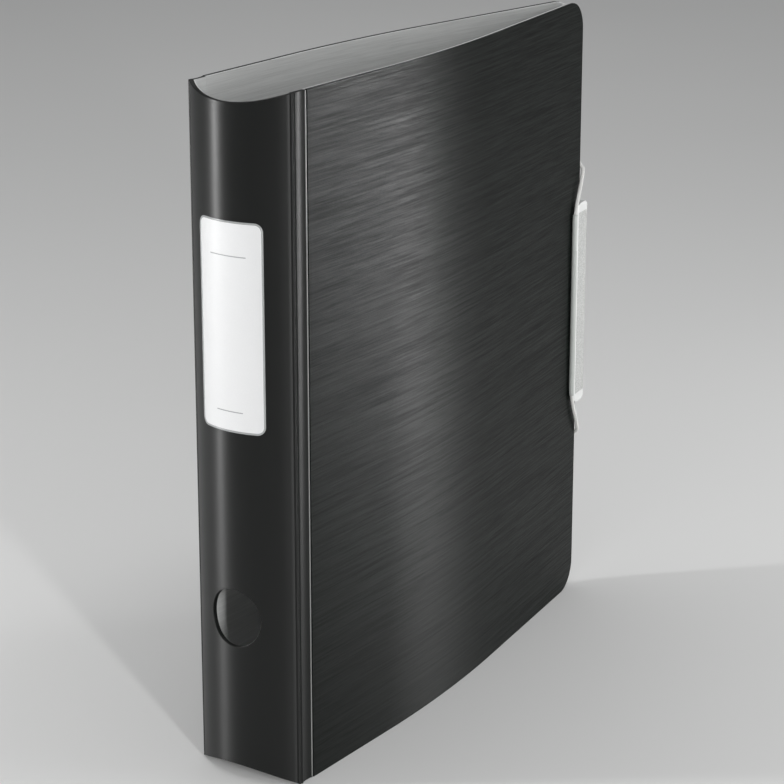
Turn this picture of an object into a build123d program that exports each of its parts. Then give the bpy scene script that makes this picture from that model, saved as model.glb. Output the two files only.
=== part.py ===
from build123d import *
import math
import os

# A two-ring lever arch file for A4, standing closed on its bottom edge, in millimetres.
# Local frame: X runs across the covers from the spine's edge to the fore edge, Y runs through
# the thickness (front cover at -Y, back cover at +Y) and Z is up. Every sub-part is moved at the
# end, so that the origin lies under the middle of the whole file.

# ---- Driving dimensions ----
HEIGHT = 318.0
COVER_WIDTH = 282.0        # spine's edge to fore edge
FLAT_Y = 27.9              # outer face of the covers beside the spine, from the middle plane
FORE_Y = 3.7               # outer face of the covers at the fore edge
SPINE_BULGE = 12.0         # how far the rounded spine stands out behind its two edges
SHEET = 2.0                # foamed polypropylene sheet
LINING = 0.6
TRIM = 0.4                 # the linings stop this far inside the edges
CORNER_RADIUS = 15.0       # covers, fore edge top and bottom
TOP_SCOOP = 5.0            # dip in the spine's top edge
BOTTOM_SCOOP = 7.5
RING_SPACING = 80.0        # two-hole filing
MIDDLE_Z = HEIGHT / 2

# ---- The bend in each cover, from its flat part to the part that slopes to the fore edge ----
SLOPE = math.atan(0.151)
BEND_X = COVER_WIDTH - (FLAT_Y - FORE_Y) / math.tan(SLOPE)
BEND_RADIUS = 700.0

# ---- Hinges between the spine and the covers ----
STRIP_START = 0.15
STRIP_END = 9.1
COVER_START = 9.4
STRIP_FACE_Y = 27.5
STRIP_THICKNESS = 1.6
STRIP_TRIM = 0.8
BEAD_RADIUS = 0.6

# ---- Spine ----
SPINE_RADIUS = (FLAT_Y ** 2 + SPINE_BULGE ** 2) / (2 * SPINE_BULGE)
SPINE_CENTRE_X = SPINE_RADIUS - SPINE_BULGE
SPINE_END_X = -0.15
FINGER_HOLE_RADIUS = 13.7
FINGER_HOLE_Z = 79.0
LABEL_Z = 214.3
LABEL_WIDTH = 35.0
LABEL_HEIGHT = 95.0
LABEL_BORDER = 0.9
LABEL_CORNER = 4.0

# ---- Mechanism, with heights h measured from the back cover's lining towards the front ----
LINING_Y = FLAT_Y - SHEET - LINING
PLATE_X = (16.0, 68.0)
PLATE_HALF_LENGTH = 70.0
PLATE_THICKNESS = 1.0
PLATE_FLANGE = 3.0
SHAFT_X = 24.0
SHAFT_H = 4.5
WIRE_RADIUS = 1.8
RUNNING_GAP = 0.05
POST_X = 58.0
POST_RADIUS = 2.2
POST_TOP_H = 22.0
ARCH_TOP_H = 40.0
ARCH_BEND = 15.0
ARCH_TIP_H = 22.5
CRANK_REACH = 9.0
EAR_OFFSETS = (28.0, 52.0)
RIVET_X = (22.0, 62.0)
RIVET_Z_OFFSET = 64.0
RIVET_RADIUS = 2.0

LEVER_X = 43.0
LEVER_H = 8.5
LEVER_Z = MIDDLE_Z + 14.0
LEVER_WIDTH = 12.0
LEVER_WALL = 1.2
LEVER_REST_ANGLE = 5.0
LEVER_PIN_RADIUS = 1.5
ROLLER_RADIUS = 3.0
ROLLER_DISTANCE = 12.0
ROLLER_PIN_RADIUS = 1.2

BAR_X = (51.6, 64.4)
BAR_H = (2.4, 4.8)
BAR_HALF_LENGTH = 56.0
BUSH_RADIUS = 3.2

# ---- Closure on the fore edge, in the slope's own terms: s beyond the edge, d off the outer face ----
CATCH_S = (-7.0, 6.5)
CATCH_D = (-3.4, 2.2)
CATCH_BACK_FLANGE_S = -5.0
CATCH_HALF_LENGTH = 54.0
CATCH_CORNER = 4.5
PAD_MARGIN_S = 1.3
PAD_HALF_LENGTH = 49.0
PAD_SINK = 0.3
PAD_PROUD = 0.25
CORD_RADIUS = 1.0
SLEEVE_RADIUS = 1.4
SLEEVE_HALF_LENGTH = 49.0
SLEEVE_PLACE = (-9.4, 1.6)
CORD_BENDS = [2.3, 5.0, 6.0, 5.5, 4.0, 6.0]
ANCHOR_S = -9.0
ANCHOR_Z = 86.0
EYELET_BARREL = 1.8
EYELET_FLANGE = 3.0
EYELET_LIP = 0.4
STOP_RADIUS = 2.2
STOP_LENGTH = 1.8


def fore_point(s, d, side):
    """Plan point s beyond the fore edge along a cover's slope and d outside its outer face."""
    x = COVER_WIDTH + s * math.cos(SLOPE) + d * math.sin(SLOPE)
    y = FORE_Y - s * math.sin(SLOPE) + d * math.cos(SLOPE)
    return (x, side * y)


def bent_line(depth, start_x, side):
    """A cover's plan line, depth inside its outer face, run on a little past the fore edge."""
    corner_x = BEND_X - depth * math.tan(SLOPE / 2)
    flat_y = side * (FLAT_Y - depth)
    start = (start_x, flat_y)
    corner = (corner_x, flat_y)
    end = fore_point(1.0, -depth, side)
    return FilletPolyline(start, corner, end, radius=BEND_RADIUS - depth)


def bent_sheet(outer_depth, inner_depth, start_x, side):
    """A full-height sheet that follows a cover, between two depths."""
    outer = bent_line(outer_depth, start_x, side)
    inner = bent_line(inner_depth, start_x, side)
    ends = [Line(outer @ 1, inner @ 1), Line(inner @ 0, outer @ 0)]
    face = make_face([*outer.edges(), *inner.edges(), *ends])
    return extrude(face, amount=HEIGHT, dir=(0, 0, 1))


def cover_outline(trim):
    """A prism through both covers with the rounded fore-edge corners, trim inside the true edge."""
    width = 2 * (COVER_WIDTH - trim)
    height = HEIGHT - 2 * trim
    outline = Pos(0, MIDDLE_Z) * RectangleRounded(width, height, CORNER_RADIUS - trim)
    face = Plane.XZ * outline
    return extrude(face, amount=2 * FLAT_Y, both=True)


def block(x0, x1, h0, h1, z0, z1):
    """A box given by its limits in X, height above the back lining, and Z."""
    middle = Pos((x0 + x1) / 2, LINING_Y - (h0 + h1) / 2, (z0 + z1) / 2)
    return middle * Box(x1 - x0, h1 - h0, z1 - z0)


def rod_x(x0, x1, h, z, radius):
    middle = Pos((x0 + x1) / 2, LINING_Y - h, z)
    return middle * Rot(0, 90, 0) * Cylinder(radius, x1 - x0)


def rod_y(x, h0, h1, z, radius):
    middle = Pos(x, LINING_Y - (h0 + h1) / 2, z)
    return middle * Rot(90, 0, 0) * Cylinder(radius, h1 - h0)


def rod_z(x, h, z0, z1, radius):
    return Pos(x, LINING_Y - h, (z0 + z1) / 2) * Cylinder(radius, z1 - z0)


def wire(points, radii, radius):
    """A round wire or cord along straight runs joined by tangent arcs."""
    path = FilletPolyline(*points, radius=radii)
    section = Plane(origin=path @ 0, z_dir=path % 0) * Circle(radius)
    return sweep(section, path=path)


def rivet_centres():
    return [(x, MIDDLE_Z + sign * RIVET_Z_OFFSET) for x in RIVET_X for sign in (-1, 1)]


def rivet_holes():
    return [rod_y(x, -5, 5, z, RIVET_RADIUS) for x, z in rivet_centres()]


def anchor_plane(sign):
    """Where a cord passes the back cover: origin on the outer face, Z along its normal."""
    x, y = fore_point(ANCHOR_S, 0, 1)
    normal = (math.sin(SLOPE), math.cos(SLOPE), 0)
    return Plane(origin=(x, y, MIDDLE_Z + sign * ANCHOR_Z), z_dir=normal)


def along_anchor(sign, d0, d1, radius):
    return anchor_plane(sign) * Pos(0, 0, (d0 + d1) / 2) * Cylinder(radius, d1 - d0)


def anchor_holes():
    return [along_anchor(sign, -6, 3, EYELET_BARREL) for sign in (-1, 1)]


# ---- Covers and linings ----
def front_cover():
    return bent_sheet(0, SHEET, COVER_START, -1) & cover_outline(0)


def back_cover():
    sheet = bent_sheet(0, SHEET, COVER_START, 1) & cover_outline(0)
    return sheet - rivet_holes() - anchor_holes()


def front_lining():
    sheet = bent_sheet(SHEET, SHEET + LINING, COVER_START + TRIM, -1)
    return sheet & cover_outline(TRIM)


def back_lining():
    sheet = bent_sheet(SHEET, SHEET + LINING, COVER_START + TRIM, 1) & cover_outline(TRIM)
    return sheet - rivet_holes() - anchor_holes()


# ---- Spine ----
def scoop(depth, trim, top):
    """What the curved top or bottom edge of the spine leaves out, across the file's thickness."""
    edge_z = HEIGHT - trim if top else trim
    inward = -1 if top else 1
    far_z = edge_z - inward * 20
    low = edge_z + inward * depth
    curve = ThreePointArc((-FLAT_Y, edge_z), (0, low), (FLAT_Y, edge_z))
    rest = Polyline((FLAT_Y, edge_z), (FLAT_Y, far_z), (-FLAT_Y, far_z), (-FLAT_Y, edge_z))
    face = Plane.YZ * make_face([*curve.edges(), *rest.edges()])
    return extrude(face, amount=60, both=True)


def spine_shell(outer_depth, inner_depth, end_x, trim):
    """Part of a tube round the spine's centre line, between two depths, with scooped ends."""
    height = HEIGHT - 2 * trim
    outer = Cylinder(SPINE_RADIUS - outer_depth, height)
    inner = Cylinder(SPINE_RADIUS - inner_depth, height + 2)
    tube = Pos(SPINE_CENTRE_X, 0, MIDDLE_Z) * (outer - inner)
    keep_width = 40
    keep = Pos(end_x - keep_width / 2, 0, MIDDLE_Z) * Box(keep_width, 80, HEIGHT)
    return (tube & keep) - scoop(TOP_SCOOP, trim, True) - scoop(BOTTOM_SCOOP, trim, False)


def finger_hole():
    centre = Pos(-SPINE_BULGE, 0, FINGER_HOLE_Z)
    return centre * Rot(0, 90, 0) * Cylinder(FINGER_HOLE_RADIUS, 30)


def spine_panel():
    panel = spine_shell(0, SHEET, SPINE_END_X, 0)
    bead_x = SPINE_END_X - BEAD_RADIUS
    bead_y = math.sqrt(SPINE_RADIUS ** 2 - (SPINE_CENTRE_X - bead_x) ** 2) - 0.15
    for side in (-1, 1):
        panel += Pos(bead_x, side * bead_y, MIDDLE_Z) * Cylinder(BEAD_RADIUS, HEIGHT - 2 * TRIM)
    return panel - finger_hole()


def spine_lining():
    return spine_shell(SHEET, SHEET + LINING, SPINE_END_X - 1.4, TRIM) - finger_hole()


def hinge_strip(side):
    """Soft strip between the spine and a cover, with a bead along each edge."""
    thickness_y = side * (STRIP_FACE_Y - STRIP_THICKNESS / 2)
    height = HEIGHT - 2 * STRIP_TRIM
    middle = Pos((STRIP_START + STRIP_END) / 2, thickness_y, MIDDLE_Z)
    strip = middle * Box(STRIP_END - STRIP_START, STRIP_THICKNESS, height)
    bead_y = side * (STRIP_FACE_Y - 0.15)
    for bead_x in (STRIP_START + BEAD_RADIUS + 0.2, STRIP_END - BEAD_RADIUS - 0.05):
        strip += Pos(bead_x, bead_y, MIDDLE_Z) * Cylinder(BEAD_RADIUS, height)
    return strip


def label_prism(width, height, corner):
    outline = Plane.YZ * Pos(0, LABEL_Z) * RectangleRounded(width, height, corner)
    return extrude(outline, amount=-40)


def label_layer(thickness):
    outer = Cylinder(SPINE_RADIUS + thickness, LABEL_HEIGHT + 10)
    inner = Cylinder(SPINE_RADIUS, LABEL_HEIGHT + 12)
    return Pos(SPINE_CENTRE_X, 0, LABEL_Z) * (outer - inner)


def label_window():
    width = LABEL_WIDTH - 2 * LABEL_BORDER
    height = LABEL_HEIGHT - 2 * LABEL_BORDER
    return label_prism(width, height, LABEL_CORNER - LABEL_BORDER)


def label_frame():
    outline = label_prism(LABEL_WIDTH, LABEL_HEIGHT, LABEL_CORNER)
    return (label_layer(0.45) & outline) - label_window()


def label_card():
    return label_layer(0.25) & label_window()


# ---- Mechanism on the back cover ----
def base_plate():
    x0, x1 = PLATE_X
    z0, z1 = MIDDLE_Z - PLATE_HALF_LENGTH, MIDDLE_Z + PLATE_HALF_LENGTH
    plate = block(x0, x1, 0, PLATE_THICKNESS, z0, z1)
    plate = fillet(plate.edges().filter_by(Axis.Y), 5)
    for side_x in (x0, x1 - PLATE_THICKNESS):
        plate += block(side_x, side_x + PLATE_THICKNESS, 0, PLATE_FLANGE, z0 + 6, z1 - 6)
    for offset in EAR_OFFSETS:
        for sign in (-1, 1):
            plate += shaft_ear(MIDDLE_Z + sign * offset)
    for sign in (-1, 1):
        plate += lever_lug(LEVER_X + sign * 3.4)
    plate -= rivet_holes()
    plate -= rod_z(SHAFT_X, SHAFT_H, z0, z1, WIRE_RADIUS + RUNNING_GAP)
    return plate - rod_x(LEVER_X - 6, LEVER_X + 6, LEVER_H, LEVER_Z, LEVER_PIN_RADIUS)


def shaft_ear(z):
    half = 0.7
    top = WIRE_RADIUS + 1.7
    foot = block(SHAFT_X - top, SHAFT_X + top, 0.5, SHAFT_H, z - half, z + half)
    return foot + rod_z(SHAFT_X, SHAFT_H, z - half, z + half, top)


def lever_lug(x):
    half = 0.6
    reach = 2.9
    foot = block(x - half, x + half, 0.5, LEVER_H, LEVER_Z - reach, LEVER_Z + reach)
    return foot + rod_x(x - half, x + half, LEVER_H, LEVER_Z, reach)


def base_rivets():
    rivets = []
    outer_face = -(SHEET + LINING)
    for x, z in rivet_centres():
        shank = rod_y(x, outer_face, PLATE_THICKNESS, z, RIVET_RADIUS)
        head = fillet(rod_y(x, outer_face - 0.8, outer_face, z, 4.2).edges(), 0.35)
        clinch = fillet(rod_y(x, PLATE_THICKNESS, PLATE_THICKNESS + 0.9, z, 3.2).edges(), 0.4)
        rivets.append(shank + head + clinch)
    return rivets


def fixed_post(sign):
    z = MIDDLE_Z + sign * RING_SPACING / 2
    post = rod_y(POST_X, PLATE_THICKNESS, POST_TOP_H, z, POST_RADIUS)
    post += rod_y(POST_X, PLATE_THICKNESS, PLATE_THICKNESS + 1.0, z, POST_RADIUS + 1.4)
    cup_depth = 2.4
    cup = Pos(POST_X, LINING_Y - POST_TOP_H + cup_depth / 2, z) * Rot(90, 0, 0)
    return post - cup * Cone(1.0, 1.9, cup_depth)


def arch_shaft():
    """One bent wire: the arches' shaft with the crank that the lever's roller holds down."""
    y = LINING_Y - SHAFT_H
    crank_x = SHAFT_X + CRANK_REACH
    points = [
        (SHAFT_X, y, MIDDLE_Z - 56),
        (SHAFT_X, y, LEVER_Z - 27),
        (crank_x, y, LEVER_Z - 21),
        (crank_x, y, LEVER_Z - 5),
        (SHAFT_X, y, LEVER_Z + 1),
        (SHAFT_X, y, MIDDLE_Z + 56),
    ]
    return wire(points, 4.0, WIRE_RADIUS)


def arch(sign):
    """A ring's curved half, seated on the shaft, with a tapered nib over its post."""
    z = MIDDLE_Z + sign * RING_SPACING / 2
    points = [
        (SHAFT_X, LINING_Y - SHAFT_H, z),
        (SHAFT_X, LINING_Y - ARCH_TOP_H, z),
        (POST_X, LINING_Y - ARCH_TOP_H, z),
        (POST_X, LINING_Y - ARCH_TIP_H, z),
    ]
    bow = wire(points, ARCH_BEND, WIRE_RADIUS)
    collar = rod_z(SHAFT_X, SHAFT_H, z - 4, z + 4, WIRE_RADIUS + 0.9)
    nib = Pos(POST_X, LINING_Y - ARCH_TIP_H + 0.7, z) * Rot(-90, 0, 0) * Cone(1.4, 0.7, 1.4)
    bore = rod_z(SHAFT_X, SHAFT_H, z - 6, z + 6, WIRE_RADIUS)
    return bow + collar + nib - bore


def lever_place():
    """The lever's own frame: origin on its pivot, X along the arm, Y away from the base plate."""
    tilt = math.radians(LEVER_REST_ANGLE)
    arm = (0, -math.sin(tilt), -math.cos(tilt))
    return Plane(origin=(LEVER_X, LINING_Y - LEVER_H, LEVER_Z), x_dir=arm, z_dir=(-1, 0, 0))


def lever_profile():
    return make_face(
        Polyline((-4, -2.5), (-4, 2.5), (-2, 4.5), (38, 4.5), (38, 2.4), (18, -2.5), (2, -4), close=True)
    )


def lever_arm():
    half = LEVER_WIDTH / 2
    body = extrude(lever_profile(), amount=half, both=True)
    hollow = Pos(17, -1.5) * Box(50, 10, LEVER_WIDTH - 2 * LEVER_WALL)
    arm = body - hollow
    arm -= Cylinder(LEVER_PIN_RADIUS + RUNNING_GAP, LEVER_WIDTH + 2)
    arm -= Pos(ROLLER_DISTANCE, 0) * Cylinder(ROLLER_PIN_RADIUS, LEVER_WIDTH + 2)
    return lever_place() * arm


def lever_grip():
    outline = make_face(
        Polyline((24, 5.4), (28, 6.8), (40, 6.8), (44, 4.5), (44, 3.0), (41, 1.2), (34, 1.2), (24, 4.5), close=True)
    )
    grip = extrude(outline, amount=LEVER_WIDTH / 2 + 0.7, both=True)
    grip = fillet(grip.edges().filter_by(Axis.Z).sort_by(Axis.X)[-2:], 0.7)
    channel = extrude(lever_profile(), amount=LEVER_WIDTH / 2, both=True)
    return lever_place() * (grip - channel)


def lever_pivot_pin():
    half = LEVER_WIDTH / 2 + 0.2
    pin = rod_x(LEVER_X - half, LEVER_X + half, LEVER_H, LEVER_Z, LEVER_PIN_RADIUS)
    for sign in (-1, 1):
        start, end = sorted((LEVER_X + sign * half, LEVER_X + sign * (half + 0.7)))
        pin += rod_x(start, end, LEVER_H, LEVER_Z, LEVER_PIN_RADIUS + 0.9)
    return pin


def roller_centre(x):
    return Pos(ROLLER_DISTANCE, 0, LEVER_X - x)


def lever_roller():
    length = 7.6
    middle_x = LEVER_X - LEVER_WIDTH / 2 - 0.4 - length / 2
    roller = Cylinder(ROLLER_RADIUS, length) - Cylinder(ROLLER_PIN_RADIUS + RUNNING_GAP, length + 2)
    return lever_place() * (roller_centre(middle_x) * roller)


def roller_pin():
    far_x = LEVER_X + LEVER_WIDTH / 2 + 0.4
    near_x = LEVER_X - LEVER_WIDTH / 2 - 8.2
    pin = roller_centre((far_x + near_x) / 2) * Cylinder(ROLLER_PIN_RADIUS, far_x - near_x)
    head = roller_centre(near_x - 0.4) * Cylinder(ROLLER_PIN_RADIUS + 0.8, 0.8)
    return lever_place() * (pin + head)


def compressor_bar():
    """Clamp that slides on the posts and holds the sheets down: a pressed bar with raised ends."""
    x0, x1 = BAR_X
    h0, h1 = BAR_H
    z0, z1 = MIDDLE_Z - BAR_HALF_LENGTH, MIDDLE_Z + BAR_HALF_LENGTH
    bar = fillet(block(x0, x1, h0, h1, z0, z1).edges().filter_by(Axis.Y), 4)
    bar -= block(x0 + 1.2, x1 - 1.2, h0 - 1, h1 - 1.2, MIDDLE_Z - 32, MIDDLE_Z + 32)
    for start in (z0, z1 - 1.4):
        bar += block(x0 + 3, x1 - 3, h1 - 0.5, h1 + 2.6, start, start + 1.4)
    for sign in (-1, 1):
        bar -= rod_y(POST_X, 0, 10, MIDDLE_Z + sign * RING_SPACING / 2, BUSH_RADIUS)
    return bar


def compressor_bushes():
    bushes = []
    for sign in (-1, 1):
        z = MIDDLE_Z + sign * RING_SPACING / 2
        bush = rod_y(POST_X, BAR_H[0], BAR_H[1], z, BUSH_RADIUS)
        bush += rod_y(POST_X, BAR_H[1], BAR_H[1] + 0.9, z, BUSH_RADIUS + 1.2)
        bushes.append(bush - rod_y(POST_X, 0, 10, z, POST_RADIUS + 0.1))
    return bushes


# ---- Closure on the fore edge ----
def fore_prism(s0, s1, d0, d1, half_length, corner=0.0):
    """A bar along the front cover's fore edge, given by its limits in s and d."""
    corners = [(s0, d0), (s1, d0), (s1, d1), (s0, d1)]
    outline = make_face(Polyline(*[fore_point(s, d, -1) for s, d in corners], close=True))
    bottom = Pos(0, 0, MIDDLE_Z - half_length) * outline
    bar = extrude(bottom, amount=2 * half_length, dir=(0, 0, 1))
    if corner:
        bar = fillet(bar.edges().filter_by(Axis.Z), corner)
    return bar


def rounded_ends(s0, s1, half_length, corner):
    """A prism through the fore edge whose outline, seen from the front, has rounded corners."""
    width = (s1 - s0) * math.cos(SLOPE) + 0.4
    centre_x, _ = fore_point((s0 + s1) / 2, 0, -1)
    outline = Plane.XZ * Pos(centre_x, MIDDLE_Z) * RectangleRounded(width, 2 * half_length, corner)
    return extrude(outline, amount=40, both=True)


def closure_catch():
    """Catch bar that grips the front cover's fore edge and stands a little past it."""
    s0, s1 = CATCH_S
    d0, d1 = CATCH_D
    slot_gap = 0.02
    bar = fore_prism(s0, s1, d0, d1, CATCH_HALF_LENGTH, 1.2)
    bar &= rounded_ends(s0, s1, CATCH_HALF_LENGTH, CATCH_CORNER)
    slot_depth = (-SHEET - LINING - slot_gap, slot_gap)
    bar -= fore_prism(s0 - 5, 0.5, slot_depth[0], slot_depth[1], HEIGHT / 2)
    bar -= fore_prism(s0 - 5, CATCH_BACK_FLANGE_S, d0 - 1, slot_gap, HEIGHT / 2)
    return bar - pad_space(PAD_SINK + 1.0)


def pad_space(top):
    s0, s1 = CATCH_S
    _, face = CATCH_D
    pad = fore_prism(s0 + PAD_MARGIN_S, s1 - PAD_MARGIN_S, face - PAD_SINK, face + top, PAD_HALF_LENGTH)
    return pad & rounded_ends(s0 + PAD_MARGIN_S, s1 - PAD_MARGIN_S, PAD_HALF_LENGTH, 3.0)


def closure_pad():
    return pad_space(PAD_PROUD)


def cord_route():
    """Centre line of the stretched loop, from one end stop round both fore edges to the other."""
    upper = [
        (*fore_point(ANCHOR_S, -4.4, 1), ANCHOR_Z),
        (*fore_point(ANCHOR_S, 3.0, 1), ANCHOR_Z),
        (*fore_point(0.4, 2.0, 1), 78.2),
        (*fore_point(2.1, 0.2, 1), 76.2),
        (*fore_point(2.1, 0.2, -1), 69.5),
        (*fore_point(0.6, 1.8, -1), 67.6),
        (*fore_point(*SLEEVE_PLACE, -1), 51.0),
    ]
    lower = [(x, y, -z) for x, y, z in reversed(upper)]
    return [(x, y, MIDDLE_Z + z) for x, y, z in upper + lower]


def elastic_cord():
    return wire(cord_route(), CORD_BENDS + CORD_BENDS[::-1], CORD_RADIUS)


def cord_sleeve():
    x, y = fore_point(*SLEEVE_PLACE, -1)
    length = 2 * SLEEVE_HALF_LENGTH
    tube = Cylinder(SLEEVE_RADIUS, length) - Cylinder(CORD_RADIUS + RUNNING_GAP, length + 2)
    return Pos(x, y, MIDDLE_Z) * tube


def cord_eyelets():
    eyelets = []
    inner_face = -(SHEET + LINING)
    for sign in (-1, 1):
        eyelet = along_anchor(sign, inner_face, 0, EYELET_BARREL)
        eyelet += along_anchor(sign, 0, EYELET_LIP, EYELET_FLANGE)
        eyelet += along_anchor(sign, inner_face - EYELET_LIP, inner_face, EYELET_FLANGE)
        eyelets.append(eyelet - along_anchor(sign, -8, 3, CORD_RADIUS + RUNNING_GAP))
    return eyelets


def cord_end_stops():
    stops = []
    start = -(SHEET + LINING + EYELET_LIP)
    for sign in (-1, 1):
        stop = along_anchor(sign, start - STOP_LENGTH, start, STOP_RADIUS)
        stops.append(stop - along_anchor(sign, -4.45, 0, CORD_RADIUS + RUNNING_GAP))
    return stops


SUB_PARTS = {
    "front_cover": front_cover,
    "back_cover": back_cover,
    "front_lining": front_lining,
    "back_lining": back_lining,
    "spine_panel": spine_panel,
    "spine_lining": spine_lining,
    "front_hinge_strip": lambda: hinge_strip(-1),
    "rear_hinge_strip": lambda: hinge_strip(1),
    "label_frame": label_frame,
    "label_card": label_card,
    "base_plate": base_plate,
    "base_rivets": base_rivets,
    "upper_post": lambda: fixed_post(1),
    "lower_post": lambda: fixed_post(-1),
    "arch_shaft": arch_shaft,
    "upper_arch": lambda: arch(1),
    "lower_arch": lambda: arch(-1),
    "lever_arm": lever_arm,
    "lever_grip": lever_grip,
    "lever_pivot_pin": lever_pivot_pin,
    "lever_roller": lever_roller,
    "roller_pin": roller_pin,
    "compressor_bar": compressor_bar,
    "compressor_bushes": compressor_bushes,
    "closure_catch": closure_catch,
    "closure_pad": closure_pad,
    "elastic_cord": elastic_cord,
    "cord_sleeve": cord_sleeve,
    "cord_eyelets": cord_eyelets,
    "cord_end_stops": cord_end_stops,
}


def solids_of(made):
    pieces = made if isinstance(made, list) else [made]
    return [solid for piece in pieces for solid in piece.solids()]


def middle_of_base(boxes):
    """The point under the middle of the whole file, which becomes the origin."""
    low_x, high_x = min(box.min.X for box in boxes), max(box.max.X for box in boxes)
    low_y, high_y = min(box.min.Y for box in boxes), max(box.max.Y for box in boxes)
    return (low_x + high_x) / 2, (low_y + high_y) / 2


def main():
    os.makedirs("parts", exist_ok=True)
    made = {name: solids_of(build()) for name, build in SUB_PARTS.items()}
    x, y = middle_of_base([solid.bounding_box() for solids in made.values() for solid in solids])
    print("the part's origin lies at local", round(x, 4), round(y, 4))
    for name, solids in made.items():
        placed = [Pos(-x, -y, 0) * solid for solid in solids]
        export_step(Compound(placed), os.path.join("parts", name + ".step"))


main()
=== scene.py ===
import math
import random

import bmesh
import bpy
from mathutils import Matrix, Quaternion, Vector


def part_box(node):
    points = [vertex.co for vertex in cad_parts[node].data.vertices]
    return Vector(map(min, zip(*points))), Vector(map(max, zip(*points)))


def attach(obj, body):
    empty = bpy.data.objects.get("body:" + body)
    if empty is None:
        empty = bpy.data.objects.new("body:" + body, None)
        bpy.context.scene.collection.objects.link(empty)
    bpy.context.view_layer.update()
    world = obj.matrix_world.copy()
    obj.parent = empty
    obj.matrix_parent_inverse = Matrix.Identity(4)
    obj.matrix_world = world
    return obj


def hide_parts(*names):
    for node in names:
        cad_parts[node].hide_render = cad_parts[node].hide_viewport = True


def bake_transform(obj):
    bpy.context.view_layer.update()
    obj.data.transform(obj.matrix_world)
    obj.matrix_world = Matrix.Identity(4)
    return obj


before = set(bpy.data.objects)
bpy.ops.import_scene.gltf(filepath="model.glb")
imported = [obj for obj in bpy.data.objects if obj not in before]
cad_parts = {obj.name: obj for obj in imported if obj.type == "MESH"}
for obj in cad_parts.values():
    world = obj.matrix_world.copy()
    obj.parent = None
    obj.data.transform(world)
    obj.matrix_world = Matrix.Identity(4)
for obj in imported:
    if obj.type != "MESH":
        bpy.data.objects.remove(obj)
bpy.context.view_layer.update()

# A two-ring lever arch file. Lengths are in the CAD part's local millimetres: X from the spine's
# edge to the fore edge, Y from the front cover to the back cover, Z up. place() moves them into
# the shared frame, whose offset is read from the frame's own boxes.
MM = 0.001
HEIGHT = 318.0
COVER_WIDTH = 282.0
FLAT_Y = 27.9
FORE_Y = 3.7
SPINE_BULGE = 12.0
SHEET = 2.0
SKIN = 1.3
LINING = 0.6
TRIM = 0.4
CORNER_RADIUS = 15.0
TOP_SCOOP = 5.0
BOTTOM_SCOOP = 7.5
SLOPE = math.atan(0.151)
BEND_X = COVER_WIDTH - (FLAT_Y - FORE_Y) / math.tan(SLOPE)
BEND_RADIUS = 700.0
COVER_START = 9.4
STRIP_START, STRIP_END = 0.15, 9.1
STRIP_FACE_Y = 27.5
STRIP_INNER_Y = 25.35
SPINE_RADIUS = (FLAT_Y ** 2 + SPINE_BULGE ** 2) / (2 * SPINE_BULGE)
SPINE_CENTRE_X = SPINE_RADIUS - SPINE_BULGE
SPINE_END_X = -0.15
HOLE_RADIUS = 13.7
HOLE_Z = 79.0
LABEL_Z = 214.3
LABEL_WIDTH, LABEL_HEIGHT = 35.0, 95.0
LABEL_BORDER = 0.9
LABEL_CORNER = 4.0
CATCH_S = (-7.0, 6.5)
CATCH_D = (-3.4, 2.2)
PAD_HALF_LENGTH = 49.0
MIDDLE_Z = HEIGHT / 2
PAD_MARGIN_S = 1.3
PAD_SINK, PAD_PROUD = 0.3, 0.25
CORD_RADIUS = 1.0
SLEEVE_RADIUS = 1.4
SLEEVE_HALF_LENGTH = 49.0
SLEEVE_PLACE = (-9.4, 1.6)
ANCHOR_S, ANCHOR_Z = -9.0, 86.0
BRAID_THREADS = 6
BRAID_PITCH = 9.0 * MM
BRAID_DEPTH = 0.12

ORIGIN_X = COVER_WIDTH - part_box("front_cover")[1].x / MM
ORIGIN_Y = -(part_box("front_cover")[0].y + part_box("back_cover")[1].y) / 2 / MM


def place(x, y, z):
    """Local millimetres to the shared frame's metres."""
    return Vector(((x - ORIGIN_X) * MM, (y - ORIGIN_Y) * MM, z * MM))


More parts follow.
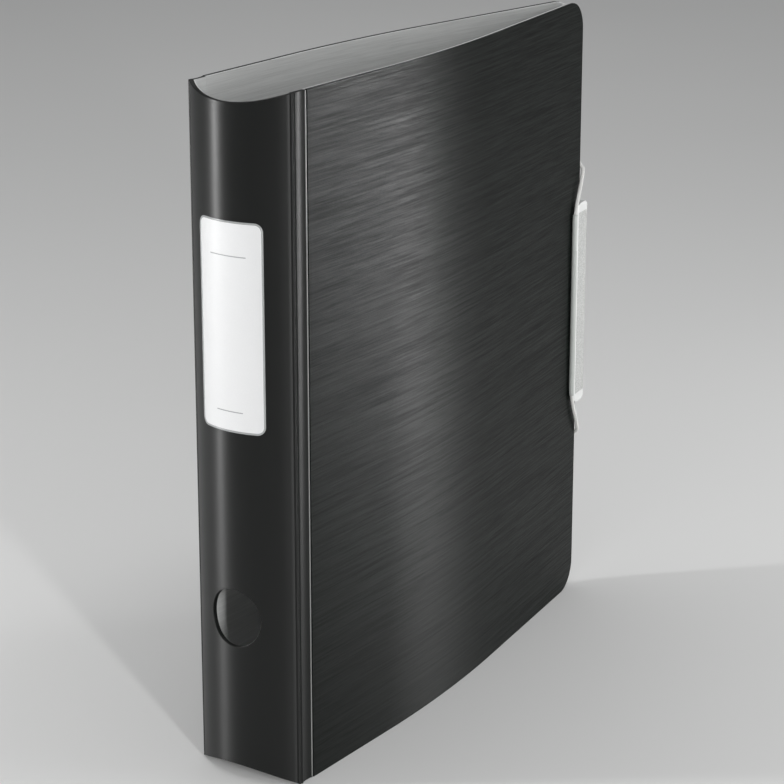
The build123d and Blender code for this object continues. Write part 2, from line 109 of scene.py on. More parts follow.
# ---------------------------------------------------------------- materials
class Nodes:
    """A small helper that adds shader nodes to one material and links them."""

    def __init__(self, name):
        self.material = bpy.data.materials.new(name)
        self.material.use_nodes = True
        self.tree = self.material.node_tree
        self.shader = self.tree.nodes["Principled BSDF"]

    def add(self, kind, **values):
        node = self.tree.nodes.new(kind)
        for key, value in values.items():
            setattr(node, key, value)
        return node

    def link(self, out, into):
        self.tree.links.new(out, into)

    def coordinates(self, scale):
        """The object's own coordinates, in metres, times a scale along each axis."""
        source = self.add("ShaderNodeTexCoord")
        mapping = self.add("ShaderNodeMapping")
        mapping.inputs["Scale"].default_value = scale
        self.link(source.outputs["Object"], mapping.inputs["Vector"])
        return mapping.outputs["Vector"]

    def noise(self, scale, detail=3.0, roughness=0.55):
        node = self.add("ShaderNodeTexNoise")
        node.inputs["Scale"].default_value = 1.0
        node.inputs["Detail"].default_value = detail
        node.inputs["Roughness"].default_value = roughness
        self.link(self.coordinates(scale), node.inputs["Vector"])
        return node.outputs["Fac"]

    def remap(self, value, low, high, new_low, new_high):
        node = self.add("ShaderNodeMapRange")
        numbers = (low, high, new_low, new_high)
        for key, number in zip(("From Min", "From Max", "To Min", "To Max"), numbers):
            node.inputs[key].default_value = number
        self.link(value, node.inputs["Value"])
        return node.outputs["Result"]

    def maths(self, operation, a, b):
        node = self.add("ShaderNodeMath", operation=operation)
        for socket, value in zip(node.inputs, (a, b)):
            if isinstance(value, (int, float)):
                socket.default_value = value
            else:
                self.link(value, socket)
        return node.outputs[0]

    def colour_between(self, value, dark, light):
        node = self.add("ShaderNodeMix", data_type="RGBA")
        node.inputs["A"].default_value = (*dark, 1)
        node.inputs["B"].default_value = (*light, 1)
        self.link(value, node.inputs["Factor"])
        return node.outputs["Result"]

    def bump(self, height, distance, strength=1.0):
        node = self.add("ShaderNodeBump")
        node.inputs["Distance"].default_value = distance
        node.inputs["Strength"].default_value = strength
        self.link(height, node.inputs["Height"])
        self.link(node.outputs["Normal"], self.shader.inputs["Normal"])

    def set(self, **values):
        for key, value in values.items():
            self.shader.inputs[key.replace("_", " ")].default_value = value


def brushed_material(name, dark, light, rough, streaks, anisotropic=0.0, specular=0.5):
    """Sheet with fine streaks along the cover's width: streaks of several lengths and heights."""
    m = Nodes(name)
    fine = m.noise((60, 60, streaks), 3)
    coarse = m.noise((16, 16, streaks / 3.5), 3)
    both = m.maths("MULTIPLY", m.maths("ADD", fine, coarse), 0.5)
    m.link(m.colour_between(m.remap(both, 0.38, 0.62, 0, 1), dark, light), m.shader.inputs["Base Color"])
    m.link(m.remap(both, 0.38, 0.62, rough[1], rough[0]), m.shader.inputs["Roughness"])
    m.bump(both, 0.00009, 0.9)
    m.set(Anisotropic=anisotropic, Anisotropic_Rotation=0.25)
    m.shader.inputs["Specular IOR Level"].default_value = specular
    return m.material


def satin_material(name, dark, light, rough, specular=0.5, anisotropic=0.0):
    """Smooth moulded or extruded plastic with a faint fine grain."""
    m = Nodes(name)
    grain = m.noise((2600, 2600, 2600), 2)
    cloud = m.noise((18, 18, 9), 3)
    m.link(m.colour_between(m.remap(cloud, 0.3, 0.7, 0, 1), dark, light), m.shader.inputs["Base Color"])
    m.link(m.remap(cloud, 0.3, 0.7, rough[0], rough[1]), m.shader.inputs["Roughness"])
    m.bump(grain, 0.00001, 0.35)
    m.set(Anisotropic=anisotropic, Anisotropic_Rotation=0.25)
    m.shader.inputs["Specular IOR Level"].default_value = specular
    return m.material


def metal_material(name, colour, rough, along=(900, 900, 60)):
    """Nickel plate with faint drawing lines and a little dullness in patches."""
    m = Nodes(name)
    lines = m.noise(along, 2)
    patches = m.noise((70, 70, 70), 3)
    dull = tuple(c * 0.82 for c in colour)
    m.link(m.colour_between(m.remap(patches, 0.3, 0.7, 0, 1), dull, colour), m.shader.inputs["Base Color"])
    both = m.maths("MULTIPLY", m.maths("ADD", lines, patches), 0.5)
    m.link(m.remap(both, 0.3, 0.7, rough[0], rough[1]), m.shader.inputs["Roughness"])
    m.bump(lines, 0.00002, 0.2)
    m.set(Metallic=1.0)
    return m.material


def stipple_material(name, dark, light):
    """Textured pad: small raised grains, with painted shade: the colour follows the grain height, darker in
    the hollows and paler on top.
    """
    m = Nodes(name)
    grains = m.add("ShaderNodeTexVoronoi")
    grains.inputs["Scale"].default_value = 1.0
    m.link(m.coordinates((1500, 1500, 1500)), grains.inputs["Vector"])
    speck = m.noise((2400, 2400, 2400), 3)
    height = m.maths("ADD", m.remap(grains.outputs["Distance"], 0.0, 0.7, 1.0, 0.0), speck)
    # Painted shade: the colour follows the grain height, so the hollows between grains are darker.
    m.link(m.colour_between(m.remap(height, 0.6, 1.4, 0, 1), dark, light), m.shader.inputs["Base Color"])
    m.bump(height, 0.00012, 0.8)
    m.set(Roughness=0.62)
    return m.material


def braid_material(name, dark, light):
    """Braided elastic: fine crossing threads over the modelled braid."""
    m = Nodes(name)
    threads = m.add("ShaderNodeTexWave", wave_type="BANDS", bands_direction="DIAGONAL")
    threads.inputs["Scale"].default_value = 1.0
    threads.inputs["Distortion"].default_value = 0.6
    m.link(m.coordinates((900, 900, 1500)), threads.inputs["Vector"])
    fuzz = m.noise((3000, 3000, 3000), 2)
    both = m.maths("MULTIPLY", m.maths("ADD", threads.outputs["Fac"], fuzz), 0.5)
    m.link(m.colour_between(both, dark, light), m.shader.inputs["Base Color"])
    m.bump(both, 0.00008, 0.5)
    m.set(Roughness=0.75)
    m.shader.inputs["Sheen Weight"].default_value = 0.25
    return m.material


def card_material(name):
    """White label card with two thin grey guide lines and a faint paper tooth."""
    m = Nodes(name)
    tooth = m.noise((1800, 1800, 1800), 4)
    source = m.add("ShaderNodeTexCoord")
    split = m.add("ShaderNodeSeparateXYZ")
    m.link(source.outputs["Object"], split.inputs[0])
    line = None
    for z, half_width in ((LABEL_Z + 32.0, 9.5), (LABEL_Z - 38.0, 7.0)):
        from_line = m.maths("ABSOLUTE", m.maths("SUBTRACT", split.outputs["Z"], z * MM), 0)
        in_z = m.maths("LESS_THAN", from_line, 0.00022)
        from_middle = m.maths("ABSOLUTE", m.maths("ADD", split.outputs["Y"], ORIGIN_Y * MM), 0)
        in_y = m.maths("LESS_THAN", from_middle, half_width * MM)
        mark = m.maths("MULTIPLY", in_z, in_y)
        line = mark if line is None else m.maths("MAXIMUM", line, mark)
    paper = m.colour_between(tooth, (0.70, 0.705, 0.71), (0.745, 0.745, 0.75))
    mix = m.add("ShaderNodeMix", data_type="RGBA")
    m.link(line, mix.inputs["Factor"])
    m.link(paper, mix.inputs["A"])
    mix.inputs["B"].default_value = (0.30, 0.31, 0.32, 1)
    m.link(mix.outputs["Result"], m.shader.inputs["Base Color"])
    m.bump(tooth, 0.00002, 0.3)
    m.set(Roughness=0.42)
    m.shader.inputs["Coat Weight"].default_value = 0.25
    m.shader.inputs["Coat Roughness"].default_value = 0.25
    return m.material


COVER = brushed_material(
    "cover_brushed", (0.0010, 0.0018, 0.0013), (0.0076, 0.0096, 0.0084), (0.34, 0.48), 3100, 0.95, 0.10
)
LINING_GREY = brushed_material(
    "lining_brushed", (0.56, 0.567, 0.56), (0.66, 0.667, 0.66), (0.5, 0.6), 2600
)
SPINE = satin_material(
    "spine_satin", (0.0042, 0.0048, 0.0044), (0.0058, 0.0064, 0.0060), (0.38, 0.42), 0.35, 0.85
)
STRIP = satin_material(
    "strip_satin", (0.009, 0.0096, 0.0092), (0.012, 0.0128, 0.0122), (0.36, 0.42), 0.15, 0.7
)
# Painted highlight: a pale colour for the strip's bead beside the cover, standing in for the bright line of
# light along it.
BEAD_HIGHLIGHT = satin_material("bead_painted_highlight", (0.15, 0.155, 0.15), (0.22, 0.225, 0.22), (0.28, 0.34), 0.5)
BORDER = satin_material("label_border", (0.30, 0.31, 0.31), (0.36, 0.37, 0.37), (0.18, 0.25))
CARD = card_material("label_card")
NICKEL_SHEET = metal_material("nickel_sheet", (0.66, 0.66, 0.65), (0.24, 0.38), (60, 900, 900))
NICKEL_WIRE = metal_material("nickel_wire", (0.78, 0.78, 0.77), (0.12, 0.22))
GRIP = satin_material("grip_plastic", (0.012, 0.012, 0.013), (0.018, 0.018, 0.019), (0.38, 0.5), 0.4)
ACETAL = satin_material("acetal_white", (0.68, 0.68, 0.66), (0.74, 0.74, 0.72), (0.3, 0.38))
BAR = satin_material("compressor_plastic", (0.014, 0.014, 0.015), (0.02, 0.02, 0.021), (0.32, 0.42), 0.4)
BUSH = satin_material("bush_grey", (0.24, 0.24, 0.24), (0.30, 0.30, 0.30), (0.35, 0.45))
CATCH = satin_material("catch_plastic", (0.72, 0.73, 0.72), (0.77, 0.78, 0.77), (0.22, 0.3))
PAD = stipple_material("pad_stipple", (0.40, 0.41, 0.40), (0.62, 0.62, 0.61))
ELASTIC = braid_material("elastic_braid", (0.58, 0.58, 0.56), (0.80, 0.80, 0.78))
SLEEVE = satin_material("sleeve_tube", (0.46, 0.48, 0.46), (0.54, 0.56, 0.54), (0.25, 0.33))


# ---------------------------------------------------------------- mesh building
def finish_piece(mesh_object, material, body=None, bevel=0.0, slot=None):
    """Smooths, bevels and applies, so that what is left is plain mesh with its material."""
    mesh_object.data.materials.append(material)
    bpy.context.collection.objects.link(mesh_object)
    if bevel:
        rounding = mesh_object.modifiers.new("bevel", "BEVEL")
        rounding.width = bevel * MM
        rounding.segments = 3
        rounding.limit_method = "ANGLE"
        rounding.angle_limit = math.radians(38)
        rounding.harden_normals = False
    weights = mesh_object.modifiers.new("weights", "WEIGHTED_NORMAL")
    weights.keep_sharp = True
    for polygon in mesh_object.data.polygons:
        polygon.use_smooth = True
    graph = bpy.context.evaluated_depsgraph_get()
    applied = bpy.data.meshes.new_from_object(mesh_object.evaluated_get(graph))
    mesh_object.modifiers.clear()
    mesh_object.data = applied
    if body:
        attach(mesh_object, body)
    return mesh_object


def paint(piece, material, test):
    """Gives a second material to the faces whose middle, in local millimetres, passes a test."""
    piece.data.materials.append(material)
    for polygon in piece.data.polygons:
        x, y, z = (c / MM for c in polygon.center)
        if test(x + ORIGIN_X, y + ORIGIN_Y, z):
            polygon.material_index = len(piece.data.materials) - 1


def object_from(name, points, faces, uvs=None):
    """A mesh object from local millimetre points; uvs holds one pair for each point."""
    mesh = bpy.data.meshes.new(name)
    mesh.from_pydata([place(*p) for p in points], [], faces)
    if uvs:
        layer = mesh.uv_layers.new(name="flat")
        for loop in mesh.loops:
            layer.data[loop.index].uv = uvs[loop.vertex_index]
    work = bmesh.new()
    work.from_mesh(mesh)
    bmesh.ops.remove_doubles(work, verts=work.verts, dist=1e-7)
    bmesh.ops.recalc_face_normals(work, faces=work.faces)
    work.to_mesh(mesh)
    work.free()
    return bpy.data.objects.new(name, mesh)


def shell(name, flat, faces, outer, inner):
    """A closed sheet. Each flat point is mapped to both of its faces, and open edges are bridged."""
    count = len(flat)
    points = [outer(*p) for p in flat] + [inner(*p) for p in flat]
    edge_use = {}
    for face in faces:
        for a, b in zip(face, face[1:] + face[:1]):
            key = (min(a, b), max(a, b))
            edge_use[key] = edge_use.get(key, 0) + 1
    both = list(faces) + [[i + count for i in reversed(face)] for face in faces]
    both += [[a, b, b + count, a + count] for (a, b), used in edge_use.items() if used == 1]
    uvs = [(u * MM, v * MM) for u, v in flat] * 2
    return object_from(name, points, both, uvs)


def column_mesh(columns, low, high, rows):
    """Flat points and faces in columns, each divided from low(u) to high(u)."""
    flat = []
    for u in columns:
        z0, z1 = low(u), high(u)
        flat += [(u, z0 + (z1 - z0) * r / rows) for r in range(rows + 1)]
    step = rows + 1
    faces = []
    for c in range(len(columns) - 1):
        for r in range(rows):
            a = c * step + r
            faces.append([a, a + step, a + step + 1, a + 1])
    return flat, faces


def spaced(start, end, count):
    return [start + (end - start) * i / count for i in range(count + 1)]


def corner_columns(edge, radius, count, direction):
    """Columns that close in on a rounded corner, so that its quarter circle stays even."""
    return [edge - direction * radius * (1 - math.sin(math.pi / 2 * i / count)) for i in range(count + 1)]


def corner_drop(distance_to_edge, radius):
    """How far a rounded corner's outline has fallen, this close to the edge."""
    if distance_to_edge >= radius:
        return 0.0
    inside = radius - max(distance_to_edge, 0.0)
    return radius - math.sqrt(max(radius ** 2 - inside ** 2, 0.0))


# ---------------------------------------------------------------- covers and linings
def cover_y(x, depth):
    """A cover's plan line: flat beside the spine, a long bend, then a slope to the fore edge."""
    bend_start = BEND_X - BEND_RADIUS * math.tan(SLOPE / 2)
    bend_end = BEND_X + BEND_RADIUS * math.tan(SLOPE / 2) * math.cos(SLOPE)
    if x <= bend_start:
        return FLAT_Y - depth
    if x < bend_end:
        radius = BEND_RADIUS - depth
        return FLAT_Y - BEND_RADIUS + math.sqrt(radius ** 2 - (x - bend_start) ** 2)
    return FORE_Y + math.tan(SLOPE) * (COVER_WIDTH - x) - depth / math.cos(SLOPE)


def cover_sheet(name, side, depths, start_x, trim, material, body, bevel):
    edge = COVER_WIDTH - trim
    radius = CORNER_RADIUS - trim
    columns = spaced(start_x, edge - radius, 90)
    columns += corner_columns(edge, radius, 14, 1)[1:]

    def low(u):
        return trim + corner_drop(edge - u, radius)

    def high(u):
        return HEIGHT - low(u)

    flat, faces = column_mesh(columns, low, high, 40)
    piece = shell(
        name, flat, faces,
        lambda u, z: (u, side * cover_y(u, depths[0]), z),
        lambda u, z: (u, side * cover_y(u, depths[1]), z),
    )
    return finish_piece(piece, material, body, bevel)


def make_covers():
    for node, side, body in (("front", -1, "front"), ("back", 1, "back")):
        cover = cover_sheet(node + "_cover_sheet", side, (0, SKIN), COVER_START, 0, COVER, body, 0.4)
        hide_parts(node + "_cover")
        depths = (SKIN, SHEET + LINING)
        lining = cover_sheet(
            node + "_lining_sheet", side, depths, STRIP_END + 0.02, 0.12, LINING_GREY, body, 0.1
        )
        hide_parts(node + "_lining")


# ---------------------------------------------------------------- spine
def spine_angle(x):
    return math.acos((SPINE_CENTRE_X - x) / SPINE_RADIUS)


def on_spine(arc, z, depth):
    """A point on the spine's arc, by its outer arc length from the middle, at a depth inside it."""
    angle = arc / SPINE_RADIUS
    radius = SPINE_RADIUS - depth
    return (SPINE_CENTRE_X - radius * math.cos(angle), radius * math.sin(angle), z)


def scoop_share(arc):
    y = SPINE_RADIUS * math.sin(arc / SPINE_RADIUS)
    return max(0.0, 1 - (y / FLAT_Y) ** 2)


def polar_patch(flat, faces, square, columns, hole_radius):
    """Fills a square opening in a column mesh with rings round a circular hole."""
    (u0, u1), (z0, z1), first_row = square
    side = len(columns) - 1
    ring = [columns[c] + first_row for c in range(side + 1)]
    ring += [columns[side] + first_row + r for r in range(1, side + 1)]
    ring += [columns[c] + first_row + side for c in range(side - 1, -1, -1)]
    ring += [columns[0] + first_row + r for r in range(side - 1, 0, -1)]
    centre_u, centre_z = (u0 + u1) / 2, (z0 + z1) / 2
    rings = 5
    outer = ring
    for k in range(1, rings + 1):
        share = k / rings
        inner = []
        for index in ring:
            u, z = flat[index]
            angle = math.atan2(z - centre_z, u - centre_u)
            circle = (centre_u + hole_radius * math.cos(angle), centre_z + hole_radius * math.sin(angle))
            inner.append(len(flat))
            flat.append((u + (circle[0] - u) * share, z + (circle[1] - z) * share))
        for i in range(len(ring)):
            j = (i + 1) % len(ring)
            faces.append([outer[i], outer[j], inner[j], inner[i]])
        outer = inner


def spine_mesh(end_x, trim, hole_radius):
    """Flat columns across the spine, with scooped ends and the finger hole."""
    half_arc = SPINE_RADIUS * spine_angle(end_x)
    half_square = 18.0
    divisions = 16
    edge_columns = spaced(-half_arc, -half_arc + 3.0, 14)
    edge_columns += spaced(-half_arc + 3.0, -half_square, 5)[1:-1]
    columns = edge_columns + spaced(-half_square, half_square, divisions)
    columns += [-u for u in reversed(edge_columns)]
    below, above = 8, 30
    flat = []
    for u in columns:
        z_low = trim + BOTTOM_SCOOP * scoop_share(u)
        z_high = HEIGHT - trim - TOP_SCOOP * scoop_share(u)
        flat += [(u, z) for z in spaced(z_low, HOLE_Z - half_square, below)]
        flat += [(u, z) for z in spaced(HOLE_Z - half_square, HOLE_Z + half_square, divisions)[1:]]
        flat += [(u, z) for z in spaced(HOLE_Z + half_square, z_high, above)[1:]]
    step = below + divisions + above + 1
    faces = []
    hole_columns = []
    for c in range(len(columns)):
        if -half_square - 1e-6 <= columns[c] <= half_square + 1e-6:
            hole_columns.append(c * step)
    for c in range(len(columns) - 1):
        inside_u = columns[c] >= -half_square - 1e-6 and columns[c + 1] <= half_square + 1e-6
        for r in range(step - 1):
            if inside_u and below <= r < below + divisions:
                continue
            a = c * step + r
            faces.append([a, a + step, a + step + 1, a + 1])
    span = (-half_square, half_square)
    square = (span, (HOLE_Z - half_square, HOLE_Z + half_square), below)
    polar_patch(flat, faces, square, hole_columns, hole_radius)
    return flat, faces, half_arc


def bead_height(distance, width, height):
    """A rounded rib: its rise at this distance from its middle."""
    share = abs(distance) / width
    return height * math.sqrt(1 - share ** 2) if share < 1 else 0.0


def make_spine():
    flat, faces, half_arc = spine_mesh(SPINE_END_X, 0, HOLE_RADIUS)
    bead_arc = half_arc - 0.75

    def outer(u, z):
        return on_spine(u, z, -bead_height(abs(u) - bead_arc, 0.7, 0.42))

    panel = shell("spine_sheet", flat, faces, outer, lambda u, z: on_spine(u, z, SHEET))
    finish_piece(panel, SPINE, "spine", 0.3)
    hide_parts("spine_panel")
    flat, faces, _ = spine_mesh(SPINE_END_X - 0.3, TRIM, HOLE_RADIUS + 0.9)
    lining = shell(
        "spine_lining_sheet", flat, faces,
        lambda u, z: on_spine(u, z, SHEET), lambda u, z: on_spine(u, z, SHEET + LINING),
    )
    finish_piece(lining, LINING_GREY, "spine", 0.12)
    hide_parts("spine_lining")


# ---------------------------------------------------------------- hinge strips
def hinge_strip(name, side, node, bodies):
    """Soft strip with a bead along each edge."""
    columns = spaced(STRIP_START, STRIP_START + 2.0, 14) + spaced(STRIP_START + 2.0, STRIP_END - 1.4, 14)[1:]
    columns += spaced(STRIP_END - 1.4, STRIP_END, 12)[1:]
    trim = 0.2

    def outer(u, z):
        rise = bead_height(u - STRIP_START - 0.85, 0.75, 0.4) + bead_height(u - STRIP_END + 0.6, 0.5, 0.35)
        dip = 0.25 * math.sin(math.pi * min(1, max(0, (u - 1.6) / (STRIP_END - 2.8))))
        return (u, side * (STRIP_FACE_Y + rise - dip), z)

    flat, faces = column_mesh(columns, lambda u: trim, lambda u: HEIGHT - trim, 60)
    strip = shell(name, flat, faces, outer, lambda u, z: (u, side * STRIP_INNER_Y, z))
    finish_piece(strip, STRIP, None, 0.15)
    paint(strip, LINING_GREY, lambda x, y, z: side * y < STRIP_INNER_Y + 0.12)
    # Painted highlight: the bead beside the cover gets the pale bead colour to show its bright line.
    paint(strip, BEAD_HIGHLIGHT, lambda x, y, z: abs(x - STRIP_END + 0.55) < 0.45 and side * y > STRIP_FACE_Y)
    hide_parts(node)
    if bodies[0] == "spine":
        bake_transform(strip)
    else:
        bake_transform(strip)


# ---------------------------------------------------------------- label
def label_columns(half_width, corner):
    left = [-u for u in reversed(corner_columns(half_width, corner, 8, 1))]
    return left + spaced(-half_width + corner, half_width - corner, 24)[1:-1] + [-u for u in reversed(left)]


def rounded_outline(half_width, half_height, corner, steps):
    """Points round a rounded rectangle, the same number whatever its size."""
    points = []
    quarters = ((1, 1, 0), (-1, 1, 90), (-1, -1, 180), (1, -1, 270))
    for sx, sz, start in quarters:
        for i in range(steps + 1):
            angle = math.radians(start + 90 * i / steps)
            u = sx * (half_width - corner) + corner * math.cos(angle)
            z = sz * (half_height - corner) + corner * math.sin(angle)
            points.append((u, z))
    return points


def make_label():
    half_width, half_height = LABEL_WIDTH / 2, LABEL_HEIGHT / 2
    inner_width, inner_height = half_width - LABEL_BORDER, half_height - LABEL_BORDER
    corner = LABEL_CORNER - LABEL_BORDER
    columns = label_columns(inner_width, corner)

    def low(u):
        return LABEL_Z - inner_height + corner_drop(inner_width - abs(u), corner)

    flat, faces = column_mesh(columns, low, lambda u: 2 * LABEL_Z - low(u), 30)
    card = shell(
        "label_card_sheet", flat, faces,
        lambda u, z: on_spine(u, z, -0.25), lambda u, z: on_spine(u, z, -0.02),
    )
    finish_piece(card, CARD, "spine", 0.05)
    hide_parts("label_card")
    border_ring(half_width, half_height, inner_width, inner_height)


def border_ring(half_width, half_height, inner_width, inner_height):
    """The pocket's raised edge: rings from the outside over the top to the inside."""
    steps = 8
    share_and_rise = (
        (0.0, 0.0), (0.0, 0.22), (0.18, 0.42), (0.5, 0.45), (0.82, 0.42), (1.0, 0.22), (1.0, 0.0)
    )
    points, faces = [], []
    outlines = []
    for share, rise in share_and_rise:
        width = half_width + (inner_width - half_width) * share
        height = half_height + (inner_height - half_height) * share
        corner = LABEL_CORNER - LABEL_BORDER * share
        outline = subdivided(rounded_outline(width, height, corner, steps), 6)
        outlines.append([on_spine(u, LABEL_Z + z, -rise - 0.005) for u, z in outline])
    count = len(outlines[0])
    for outline in outlines:
        points += outline
    for k in range(len(outlines)):
        following = (k + 1) % len(outlines)
        for i in range(count):
            j = (i + 1) % count
            faces.append([k * count + i, k * count + j, following * count + j, following * count + i])
    border = object_from("label_border", points, faces)
    finish_piece(border, BORDER, "spine")
    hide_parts("label_frame")


def subdivided(points, parts):
    """Extra points along each side of a closed outline, so that it follows the spine's curve."""
    result = []
    for (u0, z0), (u1, z1) in zip(points, points[1:] + points[:1]):
        result += [(u0 + (u1 - u0) * i / parts, z0 + (z1 - z0) * i / parts) for i in range(parts)]
    return result


# ---------------------------------------------------------------- closure
def fore_point(s, d, side):
    """Plan point s beyond the fore edge along a cover's slope and d outside its outer face."""
    x = COVER_WIDTH + s * math.cos(SLOPE) + d * math.sin(SLOPE)
    y = FORE_Y - s * math.sin(SLOPE) + d * math.cos(SLOPE)
    return (x, side * y)


def cord_route():
    """The loop's route, a little higher at the edges than the CAD's, with a straight middle."""
    upper = [
        (*fore_point(ANCHOR_S, -4.4, 1), ANCHOR_Z),
        (*fore_point(ANCHOR_S, 3.0, 1), ANCHOR_Z),
        (*fore_point(0.4, 2.0, 1), 80.7),
        (*fore_point(2.1, 0.2, 1), 78.7),
        (*fore_point(2.1, 0.2, -1), 72.0),
        (*fore_point(0.6, 1.8, -1), 70.1),
        (*fore_point(*SLEEVE_PLACE, -1), 51.0),
        (*fore_point(*SLEEVE_PLACE, -1), 38.0),
    ]
    lower = [(x, y, -z) for x, y, z in reversed(upper)]
    return [place(x, y, MIDDLE_Z + z) for x, y, z in upper + lower]


def nurbs_line(route, step):
    """Evenly spaced points along the smooth line that a route controls."""
    curve = bpy.data.curves.new("cord_line", "CURVE")
    curve.dimensions = "3D"
    curve.resolution_u = 40
    spline = curve.splines.new("NURBS")
    spline.points.add(len(route) - 1)
    for point, place_at in zip(spline.points, route):
        point.co = (*place_at, 1)
    spline.order_u = 3
    spline.use_endpoint_u = True
    holder = bpy.data.objects.new("cord_line", curve)
    mesh = bpy.data.meshes.new_from_object(holder)
    dense = [v.co.copy() for v in mesh.vertices]
    bpy.data.objects.remove(holder)
    bpy.data.meshes.remove(mesh)
    return evenly_spaced(dense, step)


def evenly_spaced(dense, step):
    line, carried = [dense[0]], 0.0
    for a, b in zip(dense, dense[1:]):
        run = (b - a).length
        while carried + run >= step and run > 0:
            share = (step - carried) / run
            a = a.lerp(b, share)
            run = (b - a).length
            line.append(a)
            carried = 0.0
        carried += run
    return line


def tube_mesh(name, line, sides, radius_at):
    """A closed tube round a line; radius_at takes the distance along it and the angle round it."""
    work = bmesh.new()
    along = (line[1] - line[0]).normalized()
    across = along.orthogonal().normalized()
    travelled = 0.0
    rings = []
    for i, centre in enumerate(line):
        if i:
            travelled += (centre - line[i - 1]).length
        ahead = (line[min(i + 1, len(line) - 1)] - line[max(i - 1, 0)]).normalized()
        across = (along.rotation_difference(ahead) @ across).normalized()
        along = ahead
        up = along.cross(across)
        ring = []
        for k in range(sides):
            angle = 2 * math.pi * k / sides
            spoke = across * math.cos(angle) + up * math.sin(angle)
            ring.append(work.verts.new(centre + spoke * radius_at(travelled, angle)))
        rings.append(ring)
    for a, b in zip(rings, rings[1:]):
        for k in range(sides):
            j = (k + 1) % sides
            work.faces.new((a[k], a[j], b[j], b[k]))
    work.faces.new(list(reversed(rings[0])))
    work.faces.new(rings[-1])
    mesh = bpy.data.meshes.new(name)
    work.to_mesh(mesh)
    work.free()
    return bpy.data.objects.new(name, mesh)


def braid_radius(along, angle):
    """Two sets of threads cross over each other round the cord."""
    turn = along / BRAID_PITCH * 2 * math.pi
    over = math.cos(BRAID_THREADS * angle + turn)
    under = math.cos(BRAID_THREADS * angle - turn)
    return (CORD_RADIUS - BRAID_DEPTH + BRAID_DEPTH * max(over, under)) * MM


def blend_at_edge(piece):
    """Bakes the piece's placement into its mesh."""
    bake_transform(piece)


def make_cord():
    line = nurbs_line(cord_route(), 0.22 * MM)
    cord = finish_piece(tube_mesh("cord_braid", line, 24, braid_radius), ELASTIC)
    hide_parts("elastic_cord")
    blend_at_edge(cord)
    covered = [p for p in line if abs(p.z / MM - MIDDLE_Z) <= SLEEVE_HALF_LENGTH and p.y < 0]
    length = (len(covered) - 1) * 0.22 * MM

    def sleeve_radius(along, angle):
        from_end = min(along, length - along)
        rounding = 0.35 * MM
        inside = max(rounding - from_end, 0)
        return SLEEVE_RADIUS * MM - rounding + math.sqrt(max(rounding ** 2 - inside ** 2, 0))

    sleeve = finish_piece(tube_mesh("cord_sleeve_tube", covered, 32, sleeve_radius), SLEEVE)
    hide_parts("cord_sleeve")
    blend_at_edge(sleeve)


def make_pad():
    """The catch's textured pad: a thin plate whose face is raised in small random grains."""
    draw = random.Random(7)
    s0, s1 = CATCH_S[0] + PAD_MARGIN_S, CATCH_S[1] - PAD_MARGIN_S
    top = CATCH_D[1] + PAD_PROUD
    across, along = 26, 220
    flat = []
    for i in range(across + 1):
        for j in range(along + 1):
            flat.append((s0 + (s1 - s0) * i / across, PAD_HALF_LENGTH * (2 * j / along - 1)))
    faces = []
    for i in range(across):
        for j in range(along):
            a = i * (along + 1) + j
            faces.append([a, a + along + 1, a + along + 2, a + 1])
    grains = {}

    def outer(s, z):
        edge = min(s - s0, s1 - s, PAD_HALF_LENGTH - abs(z))
        grain = grains.setdefault((s, z), draw.uniform(-0.16, 0.0)) if edge > 0.05 else -0.14
        return (*fore_point(s, top + grain, -1), MIDDLE_Z + z)

    pad = shell(
        "pad_plate", flat, faces, outer,
        lambda s, z: (*fore_point(s, CATCH_D[1] - PAD_SINK + 0.02, -1), MIDDLE_Z + z),
    )
    finish_piece(pad, PAD, "front")
    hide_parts("closure_pad")


# ---------------------------------------------------------------- CAD nodes refined in shape
REFINED = {
    "base_plate": (NICKEL_SHEET, "steel_plate", "back", 0.25),
    "base_rivets": (NICKEL_WIRE, "rivet", "back", 0.2),
    "upper_post": (NICKEL_WIRE, "steel_wire", "back", 0.35),
    "lower_post": (NICKEL_WIRE, "steel_wire", "back", 0.35),
    "arch_shaft": (NICKEL_WIRE, "steel_wire", "arches", 0.3),
    "upper_arch": (NICKEL_WIRE, "steel_wire", "arches", 0.3),
    "lower_arch": (NICKEL_WIRE, "steel_wire", "arches", 0.3),
    "lever_arm": (NICKEL_SHEET, "lever_steel", "lever", 0.3),
    "lever_grip": (GRIP, "lever_grip", "lever", 0.8),
    "lever_pivot_pin": (NICKEL_WIRE, "rivet", "back", 0.25),
    "lever_roller": (ACETAL, "roller", "lever", 0.3),
    "roller_pin": (NICKEL_WIRE, "rivet", "lever", 0.2),
    "compressor_bar": (BAR, "compressor", "compressor", 0.5),
    "compressor_bushes": (BUSH, "bush", "compressor", 0.25),
    "cord_eyelets": (NICKEL_WIRE, "eyelet", "back", 0.12),
    "cord_end_stops": (NICKEL_WIRE, "end_stop", "back", 0.35),
    "closure_catch": (CATCH, "closure_plastic", "front", 0.55),
}


def refined(node, material, slot, body, bevel):
    """A copy of a CAD node's mesh without its flat triangles, its edges rounded."""
    work = bmesh.new()
    work.from_mesh(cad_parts[node].data)
    bmesh.ops.remove_doubles(work, verts=work.verts, dist=2e-6)
    bmesh.ops.dissolve_limit(
        work, angle_limit=math.radians(0.4), verts=work.verts, edges=work.edges
    )
    mesh = bpy.data.meshes.new(node + "_refined")
    work.to_mesh(mesh)
    work.free()
    piece = bpy.data.objects.new(node + "_refined", mesh)
    finish_piece(piece, material, body, bevel, slot)
    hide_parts(node)


def make_refined():
    for node, (material, slot, body, bevel) in REFINED.items():
        refined(node, material, slot, body, bevel)


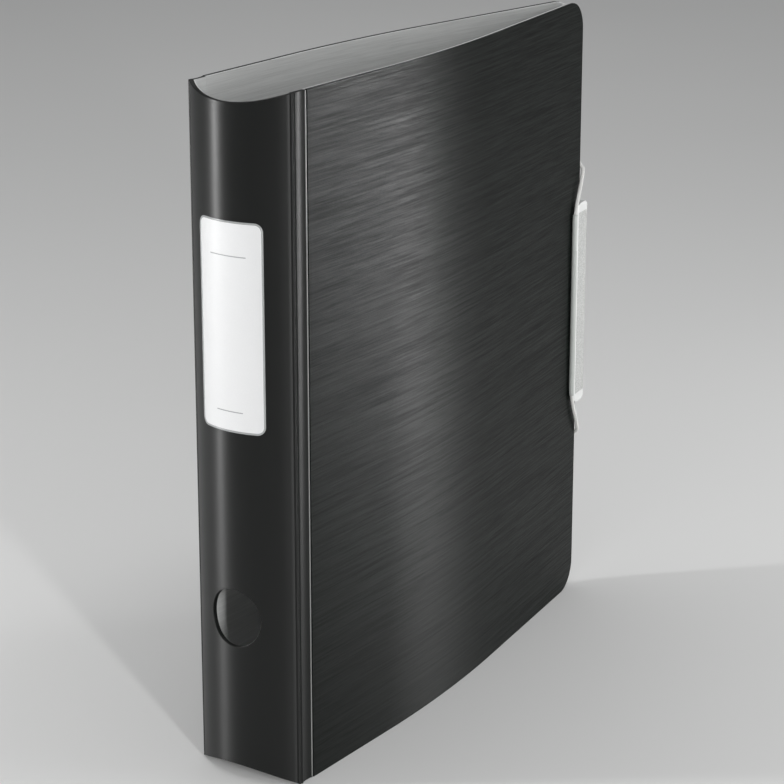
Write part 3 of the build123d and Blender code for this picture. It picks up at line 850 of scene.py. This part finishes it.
# ---------------------------------------------------------------- stage, light and camera
def make_floor():
    size = 6.0
    mesh = bpy.data.meshes.new("floor")
    corners = [(-size, -size, 0), (size, -size, 0), (size, size, 0), (-size, size, 0)]
    mesh.from_pydata(corners, [], [[0, 1, 2, 3]])
    floor = bpy.data.objects.new("floor", mesh)
    bpy.context.collection.objects.link(floor)
    m = Nodes("floor_pale")
    tone = m.noise((1.5, 1.5, 1.5), 2)
    m.link(m.colour_between(tone, (0.74, 0.74, 0.735), (0.78, 0.78, 0.775)), m.shader.inputs["Base Color"])
    m.set(Roughness=0.7)
    floor.data.materials.append(m.material)


def softbox(name, location, target, size, watts, roll=0.0):
    light = bpy.data.lights.new(name, "AREA")
    light.shape = "RECTANGLE"
    light.size, light.size_y = size
    light.energy = watts
    lamp = bpy.data.objects.new(name, light)
    lamp.location = location
    aim = (Vector(target) - Vector(location)).to_track_quat("-Z", "Y")
    lamp.rotation_mode = "QUATERNION"
    lamp.rotation_quaternion = aim @ Quaternion((0, 0, 1), math.radians(roll))
    lamp.visible_camera = False
    bpy.context.collection.objects.link(lamp)


def around(azimuth, distance, height):
    """A place round the object, by compass angle from +X."""
    angle = math.radians(azimuth)
    return (distance * math.cos(angle), distance * math.sin(angle), height)


def make_lights():
    middle = (0, 0, 0.16)
    softbox("overhead", (0.3, 0.3, 4.0), (0.3, 0.3, 0), (5.0, 5.0), 72)
    softbox("key", around(200, 1.2, 1.7), middle, (0.9, 0.9), 3.0)
    softbox("cover_sweep", around(-37, 0.9, 0.1), middle, (0.07, 0.19), 3.0, -32)
    softbox("lining_fill", around(294, 1.0, 1.9), (0, 0, 0.3), (0.5, 0.5), 4.5)
    softbox("spine_left", around(131, 1.4, 0.35), middle, (0.09, 0.8), 13)
    softbox("hinge_right", around(233, 1.5, 0.35), middle, (0.06, 1.0), 13)
    world = bpy.data.worlds.new("studio")
    world.use_nodes = True
    background = world.node_tree.nodes["Background"]
    background.inputs["Color"].default_value = (0.93, 0.95, 0.96, 1)
    background.inputs["Strength"].default_value = 0.14
    bpy.context.scene.world = world
    bpy.context.scene.view_settings.view_transform = "Standard"


def make_camera():
    data = bpy.data.cameras.new("camera")
    data.sensor_width = 36
    data.lens = 120.7
    data.clip_start, data.clip_end = 0.05, 50
    camera = bpy.data.objects.new("camera", data)
    camera.location = (-1.013, -0.6717, 0.529)
    yaw, pitch = math.radians(34.166), math.radians(17.498)
    forward = Vector((math.cos(yaw) * math.cos(pitch), math.sin(yaw) * math.cos(pitch), -math.sin(pitch)))
    camera.rotation_mode = "QUATERNION"
    camera.rotation_quaternion = forward.to_track_quat("-Z", "Y")
    bpy.context.collection.objects.link(camera)
    bpy.context.scene.camera = camera


make_camera()
make_cord()
make_lights()
make_floor()
make_covers()
make_spine()
hinge_strip("front_strip", -1, "front_hinge_strip", ("spine", "front"))
hinge_strip("rear_strip", 1, "rear_hinge_strip", ("back", "spine"))
make_label()
make_pad()
make_refined()
